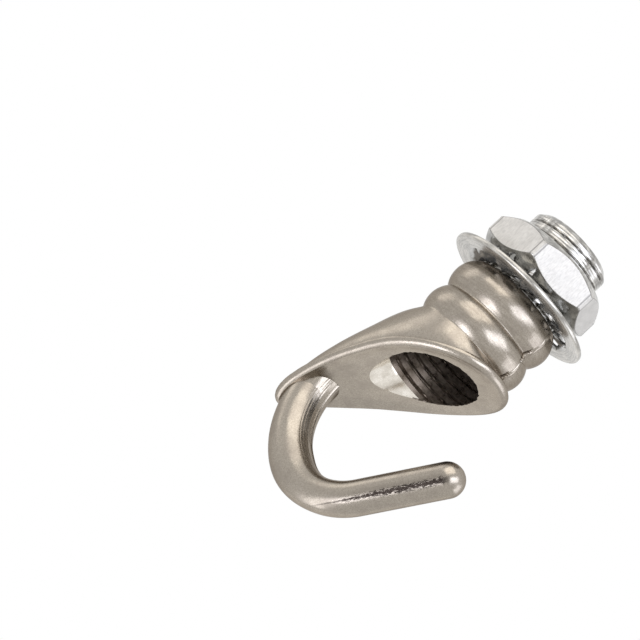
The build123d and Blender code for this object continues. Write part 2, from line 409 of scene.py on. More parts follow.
# Turned on a lathe, pale and streaked. The nipple's smooth bore has it too
zinc_top = zinc_plating(
    "bright_zinc_on_upper_cone", ("B0AEA9", "D4D2CD"), rough=(0.12, 0.20), metallic=1.0,
    mark_scale=(0.25, 0.25, 1.6), mark_depth=0.03, mark_share=0.3, streaks=0.45, edge_shade=True)
# Stamped from sheet and a little cloudy, with rings, and painted shade on the teeth
zinc_washer = zinc_plating(
    "bright_zinc_on_stamped_washer", ("AFACA5", "CBC7C0"), rough=(0.16, 0.28), metallic=0.75,
    mark_scale=(0.1, 0.1, 0.4), mark_depth=0.03, mark_share=0.5, teeth_shade=("A9A8A5", 6.7, 7.2))
# Rolled thread: pale bright crests, and painted shade as dark lines between them
zinc_thread = zinc_plating(
    "bright_zinc_on_rolled_thread", ("BDBAB5", "DEDCD7"), rough=(0.14, 0.22), metallic=1.0,
    mark_scale=(0.12, 0.12, 1.4), mark_depth=0.012, mark_share=0.6, streaks=0.45, groove_shade=True)
print("zinc finishes:", [m.name for m in (zinc_flats, zinc_lower_cone_shaded, zinc_top, zinc_washer, zinc_thread)])

# %% [markdown]
# ## One thread for every threaded place
# A thread follows a rule: the radius at a point depends only on its height less its turn
# round the axis. A ridge could be swept along a helix and cut or joined, but that leaves
# slivers at its ends. Instead a Geometry Nodes tree rolls a flat grid into a rod and applies
# the rule. The same tree makes the nipple's thread and the tap that cuts the body's bore.
# Its inputs have names, so that each use reads like a drawing's list of sizes.

# %% Inputs of the thread tree
def tree_input(tree, name, value, kind="NodeSocketFloat"):
    """A named input of a tree. Lengths are given in mm and kept in metres."""
    socket = tree.interface.new_socket(name, in_out="INPUT", socket_type=kind)
    socket.default_value = value * mm if name in lengths_in_mm else value


lengths_in_mm = {"Crest Radius", "Depth", "Pitch", "Low End", "High End", "End Cut", "Mark Depth",
                 "Outer Radius", "Rim Inner Radius", "Bore Radius", "Thickness", "Tooth Width",
                 "Root Flare", "Tooth Lift", "Ring Height", "Edge Radius"}
thread_tree = bpy.data.node_groups.new("threaded_rod", "GeometryNodeTree")
for name, value in (("Crest Radius", 4.9), ("Depth", 0.5), ("Pitch", 1.0), ("Low End", 0.0),
                    ("High End", 8.0), ("End Cut", 0.4), ("End Slope", 1.0), ("Mark Depth", 0.0),
                    ("Crest Width", 0.25)):
    tree_input(thread_tree, name, value)
tree_input(thread_tree, "Rows", 80, "NodeSocketInt")
tree_input(thread_tree, "Columns", 96, "NodeSocketInt")
thread_tree.interface.new_socket("Material", in_out="INPUT", socket_type="NodeSocketMaterial")
thread_tree.interface.new_socket("Rod", in_out="OUTPUT", socket_type="NodeSocketGeometry")
print("thread inputs:", [item.name for item in thread_tree.interface.items_tree])

# %% [markdown]
# The rod starts as a flat grid of side 1, whose X will run round the rod and whose Y along
# it. The rule then turns each point's place into a height, a radius and an angle.

# %% Grid of the thread tree
given = add(thread_tree, "NodeGroupInput").outputs
grid_columns = add(thread_tree, MATH, [given["Columns"], 1], operation="ADD")
grid = add(thread_tree, "GeometryNodeMeshGrid",
           {"Vertices X": grid_columns, "Vertices Y": given["Rows"], "Size X": 1.0, "Size Y": 1.0})
where = add(thread_tree, "GeometryNodeInputPosition")
flat = add(thread_tree, "ShaderNodeSeparateXYZ", [where])
print("thread tree nodes so far:", len(thread_tree.nodes))

# %% Rule of the thread
# The rule as a table of sums: each row is a name, an operation and its terms. A term is a
# number, an input of the tree, the flat grid's X or Y, or the name of an earlier row. Three
# faint marks of the rolling dies run in each pitch. Both ends are cut off at a slope, and
# the first and last row are drawn in to the axis, which closes the rod.
made = dict(given.items()) | dict(flat.outputs.items())
for name, operation, *terms in (
        ("turn", "ADD", "X", 0.5),
        ("share", "ADD", "Y", 0.5),
        ("last row", "SUBTRACT", "Rows", 1),
        ("row", "MULTIPLY", "share", "last row"),
        ("part", "SUBTRACT", "row", 1),
        ("inner rows", "SUBTRACT", "Rows", 3),
        ("part", "DIVIDE", "part", "inner rows"),
        ("part", "MAXIMUM", "part", 0),
        ("part", "MINIMUM", "part", 1),
        ("length", "SUBTRACT", "High End", "Low End"),
        ("height", "MULTIPLY_ADD", "part", "length", "Low End"),
        ("phase", "DIVIDE", "height", "Pitch"),
        ("phase", "SUBTRACT", "phase", "turn"),
        ("phase", "FRACT", "phase"),
        ("wave", "MULTIPLY_ADD", "phase", 2, -1),
        ("wave", "ABSOLUTE", "wave"),
        ("flank", "SUBTRACT", 1, "Crest Width"),
        ("ramp", "DIVIDE", "wave", "flank"),
        ("ramp", "MINIMUM", "ramp", 1),
        ("sunk", "SUBTRACT", 1, "ramp"),
        ("sunk", "MULTIPLY", "Depth", "sunk"),
        ("radius", "SUBTRACT", "Crest Radius", "sunk"),
        ("marks", "MULTIPLY", "phase", 6 * math.pi),
        ("marks", "COSINE", "marks"),
        ("marks", "SUBTRACT", "marks", 1),
        ("marks", "MULTIPLY", "Mark Depth", "marks"),
        ("radius", "ADD", "radius", "marks"),
        ("above", "SUBTRACT", "height", "Low End"),
        ("below", "SUBTRACT", "High End", "height"),
        ("near", "MINIMUM", "above", "below"),
        ("limit", "SUBTRACT", "Crest Radius", "End Cut"),
        ("limit", "MULTIPLY_ADD", "near", "End Slope", "limit"),
        ("radius", "MINIMUM", "radius", "limit"),
        ("after first", "GREATER_THAN", "row", 0.5),
        ("before last", "SUBTRACT", "Rows", 1.5),
        ("before last", "LESS_THAN", "row", "before last"),
        ("open", "MULTIPLY", "after first", "before last"),
        ("radius", "MULTIPLY", "radius", "open"),
        ("angle", "MULTIPLY", "turn", 2 * math.pi),
        ("x", "COSINE", "angle"),
        ("x", "MULTIPLY", "radius", "x"),
        ("y", "SINE", "angle"),
        ("y", "MULTIPLY", "radius", "y")):
    terms = [made[term] if isinstance(term, str) else term for term in terms]
    made[name] = add(thread_tree, MATH, terms, operation=operation)
print("thread tree nodes with the rule:", len(thread_tree.nodes))

# %% Rod of the thread tree
same_place = 1e-7
spot = add(thread_tree, "ShaderNodeCombineXYZ", [made["x"], made["y"], made["height"]])
rolled = add(thread_tree, "GeometryNodeSetPosition", {"Geometry": grid, "Position": spot})
closed = add(thread_tree, "GeometryNodeMergeByDistance", {"Geometry": rolled, "Distance": same_place})
plain = add(thread_tree, "GeometryNodeRealizeInstances", [closed])
painted = add(thread_tree, "GeometryNodeSetMaterial", {"Geometry": plain, "Material": given["Material"]})
add(thread_tree, "NodeGroupOutput", {"Rod": painted})
print("thread tree nodes:", len(thread_tree.nodes))


# %% [markdown]
# A tree runs as a modifier, and a cut as a Boolean. They could be left on the piece, but
# then its mesh would change with them later. So the finished mesh is copied out, cleaned,
# and put in the place of the first one.

# %% Plain meshes
def cleaned(mesh):
    """Joins the points of a mesh that coincide and turns its faces outwards."""
    work = bmesh.new()
    work.from_mesh(mesh)
    bmesh.ops.remove_doubles(work, verts=work.verts, dist=same_place)
    bmesh.ops.recalc_face_normals(work, faces=work.faces)
    work.to_mesh(mesh)
    work.free()


def plain_copy(source):
    """Replaces an object's mesh by its evaluated one and drops its modifiers."""
    evaluated = source.evaluated_get(bpy.context.evaluated_depsgraph_get())
    mesh = bpy.data.meshes.new_from_object(evaluated)
    mesh.name = source.name
    source.modifiers.clear()
    source.data = mesh
    cleaned(mesh)


print("points nearer than", same_place / mm, "mm are joined")

# %% Grow, combine and soften
def grown(name, tree, lengths, others, material):
    """Object whose mesh a Geometry Nodes tree makes. Lengths are in mm."""
    seed = bpy.data.objects.new(name, bpy.data.meshes.new(name))
    scene.collection.objects.link(seed)
    modifier = seed.modifiers.new("tree", "NODES")
    modifier.node_group = tree
    sockets = {s.name: s.identifier for s in tree.interface.items_tree if s.in_out == "INPUT"}
    for key, value in lengths.items():
        modifier[sockets[key]] = value * mm
    for key, value in others.items():
        modifier[sockets[key]] = value
    modifier[sockets["Material"]] = material
    plain_copy(seed)
    return seed


def combine(base, tools, operation):
    """Cuts or joins a base with tools and keeps the plain mesh. The tools are used up."""
    for tool in tools:
        cut = base.modifiers.new("cut", "BOOLEAN")
        cut.object = tool
        cut.operation = operation
        cut.solver = "MANIFOLD"
        cut.material_mode = "TRANSFER"
    plain_copy(base)
    for tool in tools:
        bpy.data.objects.remove(tool)


def soften(body, degrees):
    """Smooth shading that keeps edges sharper than an angle."""
    body.data.shade_smooth()
    body.data.set_sharp_from_angle(angle=math.radians(degrees))


print("helpers ready for trees and Booleans")

# %% [markdown]
# ## The cast body
# The body was cast in a two-part mould: two round beads, and under them a leaning bell
# with a slanted mouth. It could be sculpted, or cut from solids whose edges are rounded
# afterwards, but the lip changes its lean all the way round. So it is made row by row,
# because each row follows a simple rule: circles down the beads, ellipses down the bell
# until they meet the mouth, a raised round lip, and the slightly hollow face of the mouth.

# %% Sizes of the cast body, mm
seat_r, bead_1_r, groove_1_r, bead_2_r, groove_2_r = 5.6, 6.5, 5.8, 6.45, 5.95
bead_1_h, bead_2_h = 3.9, 3.4
groove_1_z = -bead_1_h
groove_2_z = groove_1_z - bead_2_h
# Drop below the lower groove, centre x, half length in x, half width in y
bell_rows = np.array([
    (0.0, 0.0, 5.95, 5.95), (1.3, -0.1, 7.3, 6.1), (4.3, -1.7, 7.1, 6.2), (7.8, -5.2, 5.2, 5.2),
    (10.7, -7.9, 3.8, 3.95), (13.1, -9.45, 2.9, 3.0), (15.5, -10.15, 2.2, 2.4), (17.4, -10.3, 1.9, 2.2)])
mouth_r, mouth_tilt, mouth_drop = 42.0, math.radians(30.3), 4.5
mouth_x = mouth_r * math.sin(mouth_tilt)
mouth_z = groove_2_z - mouth_drop - mouth_r * math.cos(mouth_tilt)
lip_r, lip_proud, lip_flare = 0.70, 0.18, 0.16
tail_droop, droop_from, droop_length = 0.75, -2.0, 10.3
seam_height, seam_width, seam_y = 0.15, 0.24, 0.38
print("mouth axis at x, z, mm:", round(mouth_x, 2), round(mouth_z, 2))

# %% Smooth curves
def spline(rows, steps):
    """Smooth curve through rows of numbers, with as many points as asked."""
    knots = np.concatenate(([0.0], np.cumsum(np.linalg.norm(np.diff(rows, axis=0), axis=1))))
    knots /= knots[-1]
    n = len(rows)
    gap = np.diff(knots)
    system, right = np.eye(n), np.zeros((n, rows.shape[1]))
    for i in range(1, n - 1):
        system[i, i - 1:i + 2] = gap[i - 1], 2 * (gap[i - 1] + gap[i]), gap[i]
        right[i] = 6 * ((rows[i + 1] - rows[i]) / gap[i] - (rows[i] - rows[i - 1]) / gap[i - 1])
    curve = np.linalg.solve(system, right)
    at = np.linspace(0, 1, steps)
    k = np.clip(np.searchsorted(knots, at, side="right") - 1, 0, n - 2)
    h, a, b = gap[k][:, None], (knots[k + 1] - at)[:, None], (at - knots[k])[:, None]
    return ((curve[k] * a ** 3 + curve[k + 1] * b ** 3) / (6 * h)
            + (rows[k] / h - curve[k] * h / 6) * a + (rows[k + 1] / h - curve[k + 1] * h / 6) * b)


print("bell half way down:", np.round(spline(bell_rows, 3)[1], 2))

# %% Arcs and skins
def arc(start, middle, end, steps):
    """Points of the circle through three points of a plane."""
    (ax, ay), (bx, by), (cx, cy) = start, middle, end
    d = 2 * (ax * (by - cy) + bx * (cy - ay) + cx * (ay - by))
    ux = ((ax**2 + ay**2) * (by - cy) + (bx**2 + by**2) * (cy - ay) + (cx**2 + cy**2) * (ay - by)) / d
    uy = ((ax**2 + ay**2) * (cx - bx) + (bx**2 + by**2) * (ax - cx) + (cx**2 + cy**2) * (bx - ax)) / d
    turns = [math.atan2(y - uy, x - ux) for x, y in (start, end)]
    radius = math.hypot(ax - ux, ay - uy)
    along = np.linspace(turns[0], turns[1], steps)
    return np.stack([ux + radius * np.cos(along), uy + radius * np.sin(along)], axis=1)


def skin(name, rows, capped=True):
    """Closed mesh from rows of points, each row a ring, in mm."""
    rows = np.asarray(rows, dtype=float)
    count, ring = rows.shape[:2]
    points = rows.reshape(-1, 3)
    faces = []
    for i in range(count - 1):
        a, b = i * ring, (i + 1) * ring
        faces += [(a + j, b + j, b + (j + 1) % ring, a + (j + 1) % ring) for j in range(ring)]
    if capped:
        first, last = len(points), (count - 1) * ring
        points = np.vstack([points, rows[0].mean(axis=0), rows[-1].mean(axis=0)])
        faces += [(first, j, (j + 1) % ring) for j in range(ring)]
        faces += [(last + (j + 1) % ring, last + j, first + 1) for j in range(ring)]
    mesh = bpy.data.meshes.new(name)
    mesh.from_pydata((points * mm).tolist(), [], faces)
    body = bpy.data.objects.new(name, mesh)
    scene.collection.objects.link(body)
    cleaned(mesh)
    return body


print("helpers ready for arcs and skins")

# %% [markdown]
# The mould's two halves met close to the plane y = 0. A thin line of metal, the parting
# line, stands up there. A bump could hint at it, but it catches the light from every side.
# So the columns of points lie closer together near it, and it is raised as real form.

# %% Columns and parting line
even_columns = 168
even_turns = np.linspace(0, 2 * np.pi, even_columns, endpoint=False) + np.radians(180 / even_columns)
near_seam = np.radians([0.4, 0.8, 1.2, 1.7, 2.3, 3.0])
seam_turn = math.asin(seam_y / bead_1_r)
columns = np.sort(np.concatenate([even_turns, seam_turn + near_seam,
                                  (seam_turn - near_seam) % (2 * np.pi), [seam_turn]]))
wander = np.random.default_rng(7).uniform(-1, 1, 40)


def seam(z, angle, radius):
    """Height of the parting line on the +X side at each angle of a level z."""
    drift = np.interp(z, np.linspace(-26, 0, wander.size), wander)
    off = radius * np.sin(angle) - seam_y - 0.05 * drift
    front = np.cos(angle) > 0
    return front * seam_height * (1 + 0.5 * drift) * np.exp(-(off / seam_width) ** 4)


print("columns:", columns.size)

# %% [markdown]
# The halves did not meet exactly: past the line the metal steps in and down a little, and
# in each groove a short jagged crack runs beside it.

# %% Beads
step_in, step_down, step_y, step_soft, step_wide, step_grows = 0.16, 0.40, 0.2, 0.06, 2.4, 0.8
crack_deep, crack_wide, crack_long, crack_y = 0.60, 0.10, 0.7, 0.08
seat_flat = 0.4
profile = np.vstack([
    arc((seat_r, 0), (bead_1_r, -bead_1_h / 2), (groove_1_r, groove_1_z), 40),
    arc((groove_1_r, groove_1_z), (bead_2_r, groove_1_z - bead_2_h / 2), (groove_2_r, groove_2_z), 36)[1:]])
groove_rows = [int(np.argmin(abs(profile[:, 1] - z))) for z in (groove_1_z, groove_2_z)]
bead_rows = []
side_y = groove_1_r * np.sin(columns)
on_seam = np.cos(columns) > 0
past_line = 0.5 + 0.5 * np.tanh((side_y - seam_y - step_y) / step_soft)
past_seam = on_seam * past_line * np.exp(-(side_y / step_wide) ** 2)
jagged = np.random.default_rng(3).uniform(-0.07, 0.07, len(profile))
for (radius, z), jag in zip(profile, jagged):
    to_groove = min(abs(z - groove_1_z), abs(z - groove_2_z))
    crack = crack_deep * on_seam * np.exp(-((side_y - crack_y - jag) / crack_wide) ** 2)
    crack *= math.exp(-(to_groove / crack_long) ** 4)
    swell = radius + (seam(z, columns, radius) - crack - step_in * past_seam) * (z < -seat_flat)
    level = z - step_down * past_seam * min(1.0, -z / step_grows)
    bead_rows.append(np.stack([swell * np.cos(columns), swell * np.sin(columns), level], axis=1))
print("bead rows:", len(bead_rows), "grooves at rows:", groove_rows)

# %% [markdown]
# ## The bell and its mouth
# Each column of the bell runs down the leaning ellipses and stops where it meets the
# mouth's hollow cylinder. There it turns round the lip and goes inwards over the face. A
# Boolean cut with a bevel would do for a plain edge, but this lip stands proud of the
# bell, and more at the front than at the tail.

# %% Skin and face of the bell
def face_z(x):
    """Height of the hollow face of the mouth over a place x. It droops a little at the tail."""
    droop = tail_droop * np.clip((droop_from - x) / droop_length, 0, 1.3) ** 2
    return mouth_z + np.sqrt(mouth_r ** 2 - (x - mouth_x) ** 2) - droop


def bell_point(at, angle):
    """Point of the bell's outer skin at a place 0 to 1 down the sections."""
    drop, centre, half_x, half_y = [np.interp(at, fine_at, fine[:, i]) for i in range(4)]
    return np.stack([centre + half_x * np.cos(angle), half_y * np.sin(angle), groove_2_z - drop], axis=-1)


fine_steps = 1200
fine = spline(bell_rows, fine_steps)
fine_at = np.linspace(0, 1, fine_steps)
ends = np.empty(columns.size)
for i, angle in enumerate(columns):
    p = bell_point(fine_at, np.full(fine_steps, angle))
    gap = p[:, 2] - face_z(p[:, 0])
    k = np.argmax(gap < 0)
    ends[i] = fine_at[k - 1] + (fine_at[k] - fine_at[k - 1]) * gap[k - 1] / (gap[k - 1] - gap[k])
lip = bell_point(ends, columns)
print("lip from", np.round(lip.min(axis=0), 2), "to", np.round(lip.max(axis=0), 2))

# %% [markdown]
# At each column the lip is an arc of one radius in the plane of two directions: outward
# from the skin, and down from the face towards the opening below. Its centre lies deep
# enough for the arc to stand proud of both, and it starts and ends where it meets them.

# %% Directions at the lip
def unit(v):
    """Vectors of length 1."""
    return v / np.linalg.norm(v, axis=-1, keepdims=True)


step = 1e-3
down = unit(bell_point(ends, columns) - bell_point(ends - step, columns))
around = unit(bell_point(ends, columns + step) - bell_point(ends, columns - step))
outward = unit(np.cross(down, around))
bell_middle = [-3.0, 0, 0]
outward *= np.sign(np.sum(outward * (lip - bell_middle) * [1, 1, 0], axis=1))[:, None]
slope = (face_z(lip[:, 0] + step) - face_z(lip[:, 0] - step)) / (2 * step)
to_axis = unit(np.stack([slope, 0 * slope, -np.ones(slope.size)], axis=1))
lean = np.sum(outward * to_axis, axis=1, keepdims=True)
print("lean of skin to face, cosine:", np.round([lean.min(), lean.max()], 2))

# %% Arcs of the lip
tail_x, flare_length, least_lean, nearly_all = -12.5, 4.0, -0.15, 0.98
deep = (lip_r - lip_proud) / (1 + np.maximum(lean, least_lean))
flare = lip_flare * np.clip((lip[:, :1] - tail_x) / flare_length, 0.1, 1.0)
centre = lip - deep * (outward + to_axis) + flare * outward
to_skin = deep * (1 + lean) - flare
to_face = deep * (1 + lean) - flare * lean
skin_run = np.sqrt(lip_r ** 2 - np.clip(to_skin, 0, lip_r * nearly_all) ** 2)
face_run = np.sqrt(lip_r ** 2 - np.clip(to_face, 0, lip_r * nearly_all) ** 2)
along_skin = unit(to_axis - lean * outward)
along_face = -unit(outward - lean * to_axis)
first = centre + to_skin * outward - skin_run * along_skin
last = centre + to_face * to_axis + face_run * along_face
middle = unit(outward + to_axis)
side = unit(outward - to_axis)
turn_a = np.arctan2(np.sum((first - centre) * side, axis=1), np.sum((first - centre) * middle, axis=1))
turn_b = np.arctan2(np.sum((last - centre) * side, axis=1), np.sum((last - centre) * middle, axis=1))
print("lip arcs, degrees:", np.round(np.degrees(turn_b - turn_a)[::40]))

# %% Rows of the bell
bell_steps, lip_steps, face_steps = 84, 15, 34
seam_r, hub = 6.0, np.array([-2.2, 0.0])
back_off = np.linalg.norm(lip - first, axis=1)
pace = np.linalg.norm(bell_point(ends, columns) - bell_point(ends - step, columns), axis=1) / step
stop = ends - back_off / pace
rows = list(bead_rows)
for s in np.linspace(0, 1, bell_steps)[1:-1]:
    p = bell_point(stop * s, columns)
    lift = seam(p[:, 2], columns, seam_r)
    rows.append(p + lift[:, None] * outward)
for s in np.linspace(0, 1, lip_steps):
    turn = (turn_a + (turn_b - turn_a) * s)[:, None]
    rows.append(centre + lip_r * (np.cos(turn) * middle + np.sin(turn) * side))
for s in np.linspace(0, 1, face_steps)[1:-1]:
    flat = last[:, :2] * (1 - s) + hub * s
    rows.append(np.column_stack([flat, face_z(flat[:, 0])]))

# Neither the grooves nor the feet of the lip are sharp: a few rows beside each are smoothed
rows = np.array(rows)
lip_end = len(rows) - face_steps + 1
lip_start = lip_end - lip_steps
groove_1_row, groove_2_row = groove_rows
for row, passes in ((groove_1_row, 3), (groove_2_row, 3), (lip_start, 3), (lip_end - 1, 9), (lip_end + 1, 9)):
    for _ in range(passes):
        part = rows[row - 4:row + 5].copy()
        rows[row - 3:row + 4] = 0.25 * part[:-2] + 0.5 * part[1:-1] + 0.25 * part[2:]
cast = skin("cast_body_blank", rows)
print("blank faces:", len(cast.data.polygons))

# %% [markdown]
# ## The hook
# A tapered round rod: a curved leg, a tighter bend, a straight arm and a ball tip. A
# Blender curve with a bevel could make it, but not the relief along it. So rings of points
# follow its centre line. On its inner side the flash of the mould was filed away, which
# leaves fine streaks along the leg and a rim beside the parting line.

# %% Centre line of the hook
leg_r, bend_r, bend_x, bend_z = 10.8, 7.75, -0.9, groove_2_z - 13.5
root_heading, thin_from, thin_to = 76.0, -33.0, 18.0
root_turn, joint_turn = math.radians(root_heading), math.radians(23.0)
arm_length, leg_radius, arm_radius = 9.3, 2.28, 1.85
leg_x = bend_x + (leg_r - bend_r) * math.sin(joint_turn)
leg_z = bend_z + (leg_r - bend_r) * math.cos(joint_turn)

# Each station is x, z, the radius in the hook's own plane and across it, and the heading
stations = []
for turn in np.linspace(-root_turn, arm_turn, 150):
    cx, cz, r = (bend_x, bend_z, bend_r) if turn >= -joint_turn else (leg_x, leg_z, leg_r)
    thin = min(1.0, max(0.0, (math.degrees(turn) - thin_from) / (thin_to - thin_from)))
    girth = leg_radius + (arm_radius - leg_radius) * thin * thin * (3 - 2 * thin)
    stations.append((cx + r * math.sin(turn), cz - r * math.cos(turn), girth, girth, turn))

# The arm runs straight on at one girth, and its ball tip shrinks like the rings of a globe
x, z = stations[-1][:2]
ahead = [(reach, arm_radius) for reach in np.linspace(0, arm_length, 31)[1:]]
ahead += [(arm_length + arm_radius * math.sin(bow), arm_radius * math.cos(bow))
          for bow in np.radians(np.linspace(0, 86, 16))[1:]]
for reach, girth in ahead:
    stations.append((x + reach * math.cos(arm_turn), z + reach * math.sin(arm_turn), girth, girth, arm_turn))
print("tip at x, z, mm:", round(stations[-1][0], 2), round(stations[-1][1], 2))

# %% [markdown]
# Above the root the rod runs on inside the bell. Its inner side keeps to the leg's own
# arc until it has passed the face, and its outer side stays under the bell's skin.

# %% Root of the hook inside the bell
def bell_outer_x(z):
    """Outermost x of the bell on the tail side at a height z."""
    drop = groove_2_z - z
    return np.interp(drop, fine[:, 0], fine[:, 1] - fine[:, 2])


inner_r, under_skin = leg_r - leg_radius, 0.3
root = []
for turn in -np.radians(np.linspace(root_heading, 90.0, 9))[1:]:
    root.append((leg_x + inner_r * math.sin(turn), leg_z - inner_r * math.cos(turn), turn))
for rise in (0.4, 0.8, 1.2):
    root.append((leg_x - inner_r, leg_z + rise, -math.pi / 2))
for x, z, turn in root:
    deep = min(leg_radius, (x - bell_outer_x(z) - under_skin) / 2)
    stations.insert(0, (x + deep * math.sin(turn), z - deep * math.cos(turn), deep, leg_radius, turn))
print("rings of the hook:", len(stations))

# %% [markdown]
# The relief of the inner side is under a tenth of a millimetre: a rim just past the parting
# line, a groove beside it, and the streaks of the file next to that. It fades out along
# the arm. The spokes of the rings lie closer together there, so that it is real form.

# %% Hook rod
inner_spokes = np.radians(np.arange(72, 150, 1.3))
spokes = np.sort(np.concatenate([np.radians(np.arange(152, 432, 5.0)), inner_spokes]))
random = np.random.default_rng(11)
filed = np.convolve(random.uniform(-1, 1, spokes.size + 2), [0.25, 0.5, 0.25], "valid")
from_line = np.degrees(spokes) - 90
land = np.clip((from_line + 3) / 5, 0, 1) * np.clip((46 - from_line) / 12, 0, 1)
rim_height, groove_depth, streak_depth, full_depth = 0.09, 0.08, 0.026, 1.2
far_rim = rim_height * np.exp(-((from_line + 4.5) / 2.6) ** 2)
near_groove = -groove_depth * np.exp(-((from_line - 1.0) / 1.6) ** 2)
fade_from, fade_over = math.radians(12), math.radians(35)
rows = []
for k, (x, z, deep, wide, turn) in enumerate(stations):
    fade = np.clip((fade_from - turn) / fade_over, 0, 1)
    relief = (far_rim + near_groove) * (0.35 + 0.65 * fade) + streak_depth * filed * land * fade
    relief = relief * min(1.0, deep / full_depth)
    inward = (deep + relief) * np.sin(spokes)
    rows.append(np.stack([x - inward * math.sin(turn), (wide + relief) * np.cos(spokes),
                          z + inward * math.cos(turn)], axis=1))
rod = skin("hook_rod_blank", rows)
rod.data.materials.append(nickel)
print("hook faces:", len(rod.data.polygons))

# %% [markdown]
# ## Wire way
# A tap cuts the bore for the nipple, and a milled pocket runs the cable out to the mouth.
# The real body was cut like this after casting, so Booleans do it here too, and each
# cutter hands its own finish to the faces that it cuts.

# %% Cutters of the wire way
seat_hole_r, tapped_r, burr_low_r = 4.93, 4.56, 4.57
nipple_low, tap_high, tap_low, tapped_low = -5.2, -4.9, -12.9, -13.28
ring = np.linspace(0, 2 * np.pi, 128, endpoint=False)


def circle_at(x, r, z):
    """Ring of points with its middle at a place x of the plane y = 0."""
    return np.stack([x + r * np.cos(ring), r * np.sin(ring), np.full(ring.size, z)], axis=1)


tap = grown("tap", thread_tree, {"Crest Radius": 4.92, "Depth": 1.1, "Pitch": 1.0, "Low End": tap_low,
                                 "High End": tap_high, "End Cut": 0.35},
            {"Crest Width": 0.12, "End Slope": 0.6, "Rows": 130, "Columns": 144}, tapped)
seat_hole = skin("seat_hole", [circle_at(0, seat_hole_r, 0.5), circle_at(0, seat_hole_r, nipple_low)])
minor = skin("minor_bore", [circle_at(0, tapped_r, tap_high), circle_at(0, tapped_r, tapped_low)])

# The pocket leans to the tail and narrows as it goes down
pocket = skin("pocket", [circle_at(-0.04 - 0.68 * s, 4.49 - 0.28 * s, -13.2 - s)
                         for s in np.linspace(0, 3.8, 10)])
pocket.data.materials.append(milled)

# The tap left a rough edge on the mouth's face: a ring of uneven radius, 0.14 mm deep
burr_r = burr_low_r + 0.13 * np.random.default_rng(5).random(ring.size) ** 2
burr_x, burr_y = burr_r * np.cos(ring), burr_r * np.sin(ring)
burr = skin("tap_burr", [np.stack([burr_x, burr_y, face_z(burr_x) + 0.14], axis=1),
                         np.stack([burr_x, burr_y, np.full(ring.size, -25.0)], axis=1)])
for cutter in (seat_hole, minor, burr):
    cutter.data.materials.append(tapped)
print("cutters:", [tool.name for tool in (tap, seat_hole, minor, pocket, burr)])

# %% [markdown]
# The thread stops just inside the mouth's face, so what lies under the face is taken off
# the tap first. Then the cast blank is cut, and the hook is joined to it last, because
# its root runs through the bell and none of the cutters may touch it.

# %% Cuts and union
bow = np.linspace(-8, 8, 40)
under_face = [[(x, y, face_z(x) + 0.10) for x in bow] + [(8, y, -30), (-8, y, -30)] for y in (-7, 7)]
combine(tap, [skin("under_face", under_face)], "DIFFERENCE")
combine(tap, [minor], "UNION")
cast.data.materials.append(nickel)
combine(cast, [tap, seat_hole, pocket, burr], "DIFFERENCE")
combine(cast, [rod], "UNION")
cast.name = cast.data.name = "hook_body_cast"
soften(cast, 26)
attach(cast, "hook")
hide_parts("hook_body")
print("cast body faces:", len(cast.data.polygons), [m.name for m in cast.data.materials])

# %% [markdown]
# ## Nipple
# A hollow steel tube with a rolled thread from end to end. It stays fixed in the body and
# carries the lock nut. It is the thread's tree again with other numbers, so that the crests
# wind on without a seam, and only its bore is cut, a little wider at the top.

# %% Threaded nipple
nipple = grown("threaded_nipple_steel", thread_tree,
               {"Crest Radius": 4.9, "Depth": 0.18, "Pitch": 1.0, "Mark Depth": 0.012,
                "Low End": nipple_low, "High End": 8.5, "End Cut": 0.55},
               {"Crest Width": 0.76, "End Slope": 1.0, "Rows": 230, "Columns": 144}, zinc_thread)
wire_r, wire_top_r = 3.5, 3.9
wire_bore = skin("wire_bore", [circle_at(0, wire_top_r, 9.0), circle_at(0, wire_r, 8.1),
                               circle_at(0, wire_r, -6.0)])
wire_bore.data.materials.append(zinc_top)
combine(nipple, [wire_bore], "DIFFERENCE")
soften(nipple, 40)
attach(nipple, "hook")
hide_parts("threaded_nipple")
print("nipple faces:", len(nipple.data.polygons))

# %% [markdown]
# ## Toothed washer
# A ring stamped from spring steel. Twelve teeth point inwards, each twisted about its
# own length so that it bites. Twelve copies could be placed by hand, but a tree keeps them
# alike: one tooth is bent from a flat block by rule, then set round the ring by its
# number, and the rim is a rounded rectangle swept along a circle.

# %% Inputs of the washer tree
washer_tree = bpy.data.node_groups.new("toothed_ring", "GeometryNodeTree")
for name, value in (("Outer Radius", 8.85), ("Rim Inner Radius", 6.95), ("Bore Radius", 5.15),
                    ("Thickness", 0.54), ("Tooth Width", 2.65), ("Root Flare", 0.85), ("Twist", 21.0),
                    ("Tooth Lift", 0.33), ("Ring Height", 0.54), ("First Tooth", 17.0), ("Edge Radius", 0.2)):
    tree_input(washer_tree, name, value)
tree_input(washer_tree, "Teeth", 12, "NodeSocketInt")
washer_tree.interface.new_socket("Material", in_out="INPUT", socket_type="NodeSocketMaterial")
washer_tree.interface.new_socket("Ring", in_out="OUTPUT", socket_type="NodeSocketGeometry")
print("washer inputs:", [item.name for item in washer_tree.interface.items_tree])

# %% Block of one tooth
given = add(washer_tree, "NodeGroupInput").outputs

